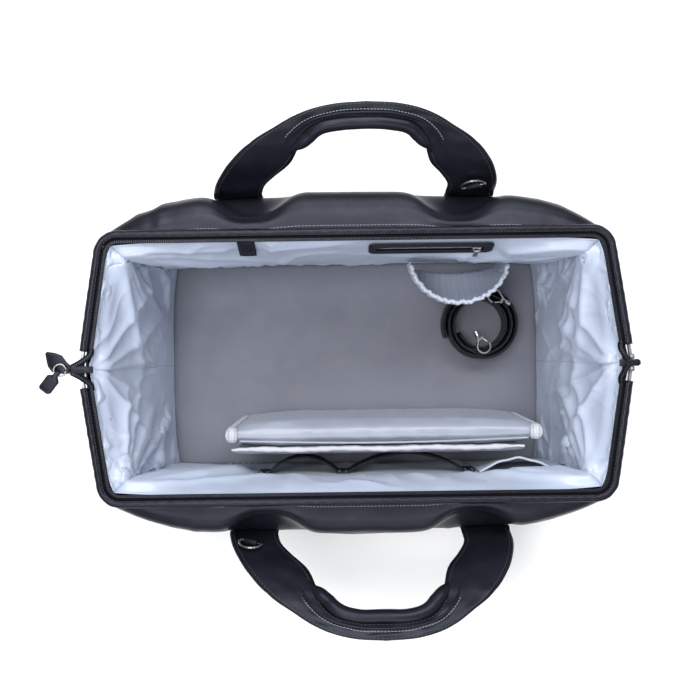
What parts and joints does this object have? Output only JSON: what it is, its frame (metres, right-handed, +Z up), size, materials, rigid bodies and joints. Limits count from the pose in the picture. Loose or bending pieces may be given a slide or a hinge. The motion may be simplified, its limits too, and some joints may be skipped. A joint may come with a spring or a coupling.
{
  "type": "open wire-frame diaper bag",
  "caption": "Large leatherette diaper bag with a hinged wire-frame mouth, two carry handles, lined pockets, a changing mat and a coiled shoulder strap inside.",
  "frame": {"origin": "on the floor under the centre of the base; the base panel's flat underside is just above it", "axes": "+X along the bag towards its right end, +Y towards the back wall, +Z up"},
  "size_m": [0.5889, 0.5006, 0.2636],
  "materials": {
    "leather": "satin grained leatherette",
    "nylon_lining": "shiny woven nylon",
    "floor_lining": "matte woven",
    "board": "matte",
    "mat_cover": "coated woven",
    "mat_pad": "soft matte",
    "bright_metal": "polished",
    "frame_steel": "satin",
    "zipper": "woven tape with a moulded coil"
  },
  "bodies": {
    "bag_body": {"back_anchor_left": "leather", "back_anchor_right": "leather", "back_panel": "leather", "base_board": "board", "base_panel": "leather", "bottle_band": "leather", "changing_mat_cover": "mat_cover", "changing_mat_pad": "mat_pad", "elastic_pocket": "nylon_lining", "elastic_rim": "nylon_lining", "foot_back_left": "bright_metal", "foot_back_right": "bright_metal", "foot_front_left": "bright_metal", "foot_front_right": "bright_metal", "front_anchor_left": "leather", "front_anchor_right": "leather", "front_panel": "leather", "left_gusset": "leather", "left_hinge_plate": "frame_steel", "lining_back": "nylon_lining", "lining_floor": "floor_lining", "lining_front": "nylon_lining", "lining_left": "nylon_lining", "lining_right": "nylon_lining", "outer_back_pocket": "leather", "outer_front_zip": "zipper", "right_gusset": "leather", "right_hinge_plate": "frame_steel", "slip_pocket": "nylon_lining", "strap_coil": "leather", "strap_hook_a": "bright_metal", "strap_hook_b": "bright_metal", "zip_end_left": "leather", "zip_end_right": "leather"},
    "front_frame": {"front_bow": "frame_steel", "front_sleeve": "leather", "front_zip_half": "zipper"},
    "back_frame": {"back_bow": "frame_steel", "back_sleeve": "leather", "back_zip_half": "zipper", "inner_pocket_welt": "leather", "inner_pocket_zip": "zipper", "key_tab": "leather"},
    "front_handle": {"front_handle": "leather", "front_handle_roll": "leather", "ring_loop_front": "leather"},
    "back_handle": {"back_handle": "leather", "back_handle_roll": "leather", "ring_loop_back": "leather"},
    "d_ring_front": {"d_ring_front": "bright_metal"},
    "d_ring_back": {"d_ring_back": "bright_metal"},
    "main_slider": {"main_slider": "bright_metal"},
    "main_ring": {"main_ring": "bright_metal"},
    "main_puller": {"main_puller": "leather"},
    "inner_slider": {"inner_slider": "bright_metal"},
    "inner_puller": {"inner_puller": "bright_metal"},
    "outer_slider": {"outer_slider": "bright_metal"},
    "strap_gate_a": {"strap_gate_a": "bright_metal"},
    "strap_gate_b": {"strap_gate_b": "bright_metal"}
  },
  "joints": [
    {"name": "front_frame_hinge", "type": "hinge", "parent": "bag_body", "child": "front_frame", "pos_m": [0, -0.006, 0.205], "axis": [-1, 0, 0], "range_deg": [0, 90]},
    {"name": "back_frame_hinge", "type": "hinge", "parent": "bag_body", "child": "back_frame", "pos_m": [0, 0.006, 0.205], "axis": [1, 0, 0], "range_deg": [0, 90]},
    {"name": "front_handle_fold", "type": "hinge", "parent": "bag_body", "child": "front_handle", "pos_m": [0, -0.1735, 0.16], "axis": [-1, 0, 0], "range_deg": [-80, 28]},
    {"name": "back_handle_fold", "type": "hinge", "parent": "bag_body", "child": "back_handle", "pos_m": [0, 0.179, 0.16], "axis": [1, 0, 0], "range_deg": [-80, 28]},
    {"name": "front_d_ring_swing", "type": "hinge", "parent": "front_handle", "child": "d_ring_front", "pos_m": [-0.108, -0.17502, 0.18875], "axis": [-0.9135, 0.153, -0.3768], "range_deg": [0, 60]},
    {"name": "back_d_ring_swing", "type": "hinge", "parent": "back_handle", "child": "d_ring_back", "pos_m": [0.12, 0.17904, 0.18835], "axis": [0.9135, 0.1311, 0.385], "range_deg": [0, 60]},
    {"name": "main_slider_run", "type": "slide", "parent": "bag_body", "child": "main_slider", "axis": [1, 0, 0], "range_m": [0, 0.005]},
    {"name": "main_ring_swing", "type": "hinge", "parent": "main_slider", "child": "main_ring", "pos_m": [-0.2832, 0, 0.2145], "axis": [0, 1, 0], "range_deg": [0, 70]},
    {"name": "main_puller_swing", "type": "hinge", "parent": "main_ring", "child": "main_puller", "pos_m": [-0.29306, -0.0046, 0.2145], "axis": [0.788, -0.6157, 0], "range_deg": [-45, 0]},
    {"name": "inner_slider_run", "type": "slide", "parent": "back_frame", "child": "inner_slider", "axis": [1, 0, 0], "range_m": [-0.094, 0]},
    {"name": "inner_puller_swing", "type": "hinge", "parent": "inner_slider", "child": "inner_puller", "pos_m": [0.123, 0.11391, 0.18575], "axis": [-1, 0, 0], "range_deg": [0, 85]},
    {"name": "outer_slider_run", "type": "slide", "parent": "bag_body", "child": "outer_slider", "axis": [1, 0, 0], "range_m": [-0.118, 0]},
    {"name": "strap_gate_a_swing", "type": "hinge", "parent": "bag_body", "child": "strap_gate_a", "pos_m": [0.14685, 0.02781, 0.05], "axis": [0, 0, -1], "range_deg": [0, 25], "stiffness_Nm_per_rad": 0.002},
    {"name": "strap_gate_b_swing", "type": "hinge", "parent": "bag_body", "child": "strap_gate_b", "pos_m": [0.16939, 0.06919, 0.05], "axis": [0, 0, -1], "range_deg": [0, 25], "stiffness_Nm_per_rad": 0.002}
  ]
}
